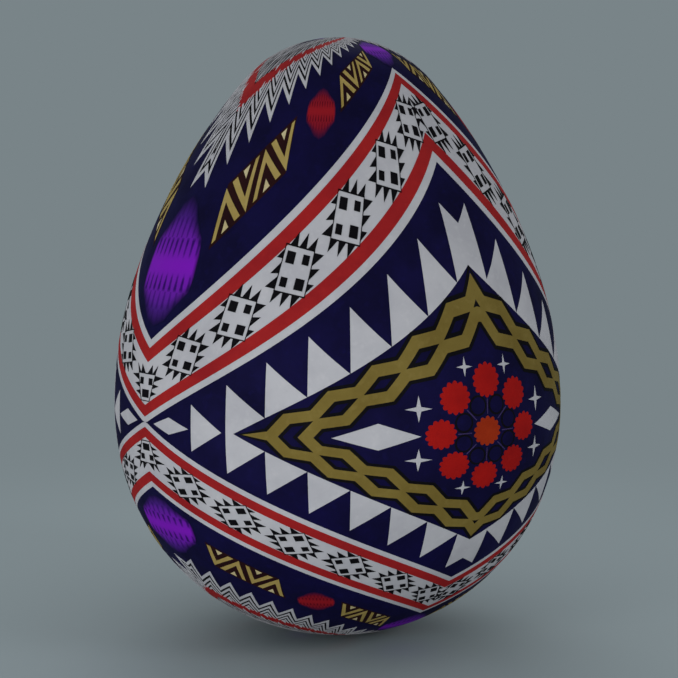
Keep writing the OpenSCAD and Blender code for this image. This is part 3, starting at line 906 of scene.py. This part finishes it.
def paintFeathered(name, motifs, up, material, nodes, quarters):
    films, strokes = [], []
    place = inQuarters if quarters else onMiddles
    for centre, size in motifs:
        middles = place([[centre]], up)
        for shape, middle in zip(place([featheredShape(centre, size)], up), middles):
            films.append(filledOutline(shape, featherStep))
            flat = films[-1][0]
            strokes += 2 * [featherPlace(p, middle[0], size) for p in flat]       # on the film's two faces
    paint(name, films, "first", material, nodes, strokes)


for half, up in halves:
    paintFeathered(f"{half}_feathered_purple",
                   [feathered[k] for k in ("lowPurple", "highPurple", "polePurple")],
                   up, purpleDye, [f"{half}_purple"], False)
    paintFeathered(f"{half}_feathered_red", [feathered["red"]],
                   up, ovalDye, [f"{half}_red"], True)
print("feathered lozenges laid")

# Gold zigzags: an open V and the same turned about, in pairs, on a dark brown sheet of painted shadow
zigzags = {
    "starts": (-74.5, -35.3),
    "near": 21.95,            # distance from the bands' crossing line to the zigzags' two edges
    "far": 28.5,
    "width": 7.55,
    "stroke": 1.05,
    "slopeStroke": 1.45,
    "corner": 4.3,            # how far up the upright the inner corner lies
    "lean": -0.5,             # the upright leans this far
    "inner": (2.65, 4.5, 1.6),    # the small triangle inside a V
    "turnAbout": 8.7,         # width of a pair
    "veeReach": 1.045,        # the turned one is this much longer
    "pairPitch": 10.95,
    "pairs": 2,
    "shadeRoom": 0.5,
}


def zigzagPair(start, form):
    # drawn upright first: across, and down from the near edge, then laid along the slant
    depth = form["far"] - form["near"]
    vee = [(0, 0), (form["stroke"], 0), (form["stroke"], form["corner"]),
           (form["width"] - form["slopeStroke"], 0), (form["width"], 0), (form["lean"], depth)]
    x0, x1, reach = form["inner"]
    upright = [vee, [(x0, 0), (x1, 0), (x0, reach)]]
    turned = [[(form["turnAbout"] - x, depth - form["veeReach"] * y) for x, y in s] for s in upright]
    laid = [[(start + x, slant(form["near"] + y, start + x)) for x, y in s] for s in upright + turned]
    return laid[0::2], laid[1::2]


# painted shadow: a dark brown sheet a little larger than each group of zigzags
def zigzagShadow(start, form):
    room = form["shadeRoom"]
    end = start + (form["pairs"] - 1) * form["pairPitch"] + form["turnAbout"] + room
    corners = ((start - room, form["near"] - room), (end, form["near"] - room),
               (end, form["far"] + room), (start - room, form["far"] + room))
    return [(t, slant(c, t)) for t, c in corners]


zigzagBars, zigzagChips, zigzagShadows = [], [], []
for start in zigzags["starts"]:
    zigzagShadows.append(zigzagShadow(start, zigzags))
    for k in range(zigzags["pairs"]):
        bars, chips = zigzagPair(start + k * zigzags["pairPitch"], zigzags)
        zigzagBars += bars
        zigzagChips += chips
for half, up in halves:
    # painted shadow under the gold zigzags, in dark brown
    paint(f"{half}_zigzag_painted_shadow", filled(inQuarters(zigzagShadows, up)), "first", brownShadowDye)
    paint(f"{half}_zigzag_bars", filled(inQuarters(zigzagBars, up)),
          "second", zigzagDye, [f"{half}_gold_zigzags"])
    paint(f"{half}_zigzag_chips", filled(inQuarters(zigzagChips, up)), "second", chipDye)
print("gold zigzags laid")

# White saw lines towards each pole, a red row, and the same saws turned about beyond it
saws = {
    "tips": 33.1,
    "perQuarter": 14,
    "shift": 1.3,             # a tip stands this far beyond the middle of its pitch
    "upright": (-0.95, 6.19),     # from a tip up its steep edge
    "inward": (-1.0, 1.1),        # from one line to the next
    "lines": ((0.0, 1.4), (2.4, 3.5), (4.4, 5.4), (6.3, 7.3)),    # start and end of each line on that way
    "end": 46.0,              # the saws stop here, under the red row
    "mirror": 47.9,
    "farStretch": 1.25,       # beyond the red row the saws are drawn out
    "farLines": ((0.0, 1.1), (3.3, 4.3), (6.6, 7.2)),     # with fewer lines
    "poleRoom": 86.0,
    "shadeRoom": 0.6,
    "leastArea": 0.02,        # a cut leaves nothing smaller than this, in square degrees
}
redRow = {
    "near": 45.2,
    "depth": 0.45,            # of the small zigzag along its edges
    "width": 5.0,
    "tickHalf": 0.75,         # the white points that bite into it
    "tickReach": 2.1,
    "tickPlace": 0.4,
    "rows": 2,
}
sawPitch = quarterTurn / saws["perQuarter"]


def homeSlant(start, longitude):
    # the slanted line of the home quarter, also beyond its ends
    return start + bandRise + lean * longitude


def moved(point, *ways):
    return (point[0] + sum(w[0] for w in ways), point[1] + sum(w[1] for w in ways))


def cutShape(shape, room):
    # keeps what lies where room(point) is not negative
    kept = []
    for a, b in zip(shape, shape[1:] + shape[:1]):
        roomA, roomB = room(a), room(b)
        if roomA >= 0:
            kept.append(a)
        if roomA * roomB < 0:
            kept.append(between(a, b, roomA / (roomA - roomB)))
    return kept


def homeQuarter(shapes, end):
    made = []
    for shape in shapes:
        shape = cutShape(shape, lambda p: p[0] + quarterTurn)
        shape = cutShape(shape, lambda p: -p[0])
        shape = cutShape(shape, lambda p: homeSlant(end, p[0]) - p[1])
        if len(shape) > 2 and abs(signedArea(shape)) > saws["leastArea"]:
            made.append(shape)
    return made


def sawCorners(k):
    # a tip with the tops of its steep edge and of its long edge
    t = -quarterTurn + (k + 0.5) * sawPitch + saws["shift"]
    tip = (t, homeSlant(saws["tips"], t))
    steepTop = moved(tip, saws["upright"])
    return tip, steepTop, moved(steepTop, (-sawPitch, -lean * sawPitch))


def inwardBy(share):
    return (saws["inward"][0] * share, saws["inward"][1] * share)


def sawLines(lines):
    made = []
    for k in range(saws["perQuarter"] + 1):
        tip, steepTop, longTop = sawCorners(k)
        edge = [steepTop, tip, longTop]
        for start, end in lines:
            made.append([moved(p, inwardBy(start)) for p in edge]
                        + [moved(p, inwardBy(end)) for p in reversed(edge)])
    return homeQuarter(made, saws["end"])


def sawShades():
    # painted shade: a black sheet that shows between the saw lines
    far = saws["end"] + saws["shadeRoom"]
    made = []
    for k in range(saws["perQuarter"] + 1):
        tip, steepTop, longTop = sawCorners(k)
        made.append([longTop, tip, steepTop] + [(p[0], homeSlant(far, p[0])) for p in (steepTop, longTop)])
    return homeQuarter(made, far)


def turnedAbout(shapes):
    stretch, mirror = saws["farStretch"], saws["mirror"]
    made = [[(t, slant(mirror, t) + stretch * (slant(mirror, t) - l)) for t, l in s] for s in shapes]
    return [s for s in made if max(l for t, l in s) < saws["poleRoom"]]


rowCorners = 2 * saws["perQuarter"] * fullTurn // quarterTurn
rowSteps = 3
rowLongitudes = [i * fullTurn / (rowCorners * rowSteps) for i in range(rowCorners * rowSteps)]


def rowLine(start):
    half = fullTurn / rowCorners

    def latitude(t):
        fromCorner = abs(1 - (t / half) % 2)
        return slant(start + redRow["depth"] * (1 - fromCorner), t)

    return latitude


def rowTick(k, start, way):
    # a small white point that bites into an edge of the row
    t = -quarterTurn + (k + 0.5 + way * (redRow["tickPlace"] - 0.5)) * sawPitch
    half, reach = redRow["tickHalf"], redRow["tickReach"]
    return [(t - half, slant(start, t - half)), (t + half, slant(start, t + half)),
            (t - way * half, slant(start + way * reach, t - way * half))]


rowEdges = ((redRow["near"], 1), (redRow["near"] + redRow["width"] + redRow["depth"], -1))
rowTicks = [rowTick(k, *edge) for edge in rowEdges for k in range(1, saws["perQuarter"] - 1)]
for half, up in halves:
    # painted shade between the saw lines, in black
    paintedShades = inQuarters(sawShades() + turnedAbout(sawShades()), up)
    paint(f"{half}_saw_painted_shade", filled(paintedShades), "first", blackDye)
    lines = inQuarters(sawLines(saws["lines"]) + turnedAbout(sawLines(saws["farLines"])), up)
    paint(f"{half}_white_saws", filled(lines), "second", whiteDye, [f"{half}_chevrons"])
    near, far = rowLine(redRow["near"]), rowLine(redRow["near"] + redRow["width"])
    row = ringFilm(lambda t: up * near(t), lambda t: up * far(t), rowLongitudes, redRow["rows"])
    paint(f"{half}_red_row", [row], "second", redDye, [f"{half}_red_zigzag"])
    paint(f"{half}_row_points", filled(inQuarters(rowTicks, up)), "third", whiteDye)
print("saws and red rows laid")

# Shell, membranes and dried contents keep their solids
insides = {
    "eggshell": (tone(226, 218, 204), tone(214, 204, 188), tone(236, 230, 220)),
    "outer_membrane": (tone(226, 216, 198), tone(214, 202, 182), tone(236, 228, 214)),
    "inner_membrane": (tone(222, 210, 190), tone(206, 194, 172), tone(232, 222, 206)),
    "dried_albumen": (tone(190, 158, 84), tone(164, 128, 56), tone(208, 182, 120)),
    "dried_yolk": (tone(196, 126, 34), tone(162, 92, 22), tone(214, 156, 66)),
}
insideLook = {"wornShare": 0.4, "relief": 0.5}
for node, tones in insides.items():
    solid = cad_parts[node]
    solid.data.materials.clear()
    solid.data.materials.append(dye(f"{node}_finish", *tones, **insideLook))
print("insides finished")

# Stage: a plain floor that runs out into the same even grey-blue behind the egg
stage = {
    "floorColour": tone(121, 132, 136),
    "floorPaint": tone(158, 171, 175),    # near the egg, where the floor takes its light and shadow
    "floorRough": 0.9,
    "floorGloss": 0.1,
    "floorRadius": 4.0,
    "floorCorners": 96,
    "floorDrop": 0.00002,
    "plainFrom": 0.015,       # the floor takes shadow inside this radius and is even beyond the next
    "plainTo": 0.12,
    "worldLight": 0.48,
    "worldTint": (0.95, 0.98, 1.0, 1.0),
}
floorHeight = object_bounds()[0].z - stage["floorDrop"]
floorTurns = [math.tau * i / stage["floorCorners"] for i in range(stage["floorCorners"])]
floorRim = [(stage["floorRadius"] * math.cos(a), stage["floorRadius"] * math.sin(a), floorHeight)
            for a in floorTurns]
floorMesh = bpy.data.meshes.new("floor")
floorMesh.from_pydata(floorRim, [], [list(range(len(floorRim)))])
floor = bpy.data.objects.new("floor", floorMesh)
bpy.context.scene.collection.objects.link(floor)
floorFinish = bpy.data.materials.new("floor_finish")
desk = NodeDesk(floorFinish)
place = desk.add("ShaderNodeNewGeometry").outputs["Position"]
reach = desk.add("ShaderNodeVectorMath", {0: place}, operation="LENGTH").outputs["Value"]
desk.into("Base Color", stage["floorPaint"])
desk.into("Roughness", stage["floorRough"])
desk.into("Specular IOR Level", stage["floorGloss"])
even = desk.add("ShaderNodeEmission", {"Color": stage["floorColour"], "Strength": 1.0})
fade = desk.add("ShaderNodeMapRange", {
    "Value": reach, "From Min": stage["plainFrom"], "From Max": stage["plainTo"],
}, interpolation_type="SMOOTHSTEP")
mixed = desk.add("ShaderNodeMixShader", {
    0: fade.outputs["Result"], 1: desk.shader.outputs["BSDF"], 2: even.outputs["Emission"]})
desk.tree.links.new(mixed.outputs["Shader"], desk.tree.nodes["Material Output"].inputs["Surface"])
floorMesh.materials.append(floorFinish)

world = bpy.data.worlds.new("studio")
bpy.context.scene.world = world
desk = NodeDesk(world)
desk.tree.nodes.clear()
softLight = desk.add("ShaderNodeBackground", {"Color": stage["worldTint"], "Strength": stage["worldLight"]})
backdrop = desk.add("ShaderNodeBackground", {"Color": stage["floorColour"]})
rays = desk.add("ShaderNodeLightPath").outputs
seen = rays["Is Camera Ray"]
for other in ("Is Glossy Ray", "Is Transmission Ray"):
    seen = desk.sums("MAXIMUM", seen, rays[other])
chosen = desk.add("ShaderNodeMixShader", {
    0: seen, 1: softLight.outputs["Background"], 2: backdrop.outputs["Background"]})
desk.add("ShaderNodeOutputWorld", {"Surface": chosen.outputs["Shader"]})

# Soft boxes: degrees round the egg and up from its middle, distance, size, watts
softBoxes = {
    "key": (-85, 8, 0.55, 0.16, 0.58),
    "front": (-40, 6, 0.55, 0.12, 0.12),
    "fill": (22, 24, 0.55, 0.16, 0.36),
    "lowLeft": (-75, -13, 0.11, 0.05, 0.041),
    "lowRight": (-15, -13, 0.11, 0.05, 0.033),
    "rim": (150, 40, 0.6, 0.4, 0.6),
}
lowBoxes = ("lowLeft", "lowRight")        # these light the egg and leave the floor out
eggMiddle = Vector((0, 0, eggForm["length"] / 2 * millimetre))
leftOut = bpy.data.collections.new("left_out")
leftOut.objects.link(floor)
leftOut.collection_objects[0].light_linking.link_state = "EXCLUDE"


def around(azimuth, elevation, distance, centre):
    a, e = math.radians(azimuth), math.radians(elevation)
    return centre + distance * Vector((math.sin(a) * math.cos(e), -math.cos(a) * math.cos(e), math.sin(e)))


for name, (azimuth, elevation, distance, size, watts) in softBoxes.items():
    lamp = bpy.data.lights.new(name, "AREA")
    lamp.shape = "DISK"
    lamp.size = size
    lamp.energy = watts
    lampObject = bpy.data.objects.new(name, lamp)
    lampObject.location = around(azimuth, elevation, distance, eggMiddle)
    lampObject.rotation_euler = (eggMiddle - lampObject.location).to_track_quat("-Z", "Y").to_euler()
    lampObject.visible_camera = False
    if name in lowBoxes:
        lampObject.light_linking.receiver_collection = leftOut
    bpy.context.scene.collection.objects.link(lampObject)

# The photo's view
photoView = {
    "azimuth": -37.2,
    "elevation": 5.458,
    "distance": 0.1525,
    "targetHeight": 0.028825,
    "sideStep": 0.000154,
    "lens": 82.2,
    "sensor": 36.0,
    "clip": (0.005, 20.0),
}
camera = bpy.data.cameras.new("photo_view")
camera.lens = photoView["lens"]
camera.sensor_width = photoView["sensor"]
camera.clip_start, camera.clip_end = photoView["clip"]
cameraObject = bpy.data.objects.new("photo_view", camera)
sight = math.radians(photoView["azimuth"])
target = Vector((math.cos(sight), math.sin(sight), 0)) * photoView["sideStep"]
target.z = photoView["targetHeight"]
cameraObject.location = around(photoView["azimuth"], photoView["elevation"], photoView["distance"], target)
cameraObject.rotation_euler = (target - cameraObject.location).to_track_quat("-Z", "Y").to_euler()
bpy.context.scene.collection.objects.link(cameraObject)
bpy.context.scene.camera = cameraObject
bpy.context.scene.view_settings.view_transform = "Standard"
print("stage, lights and camera set")
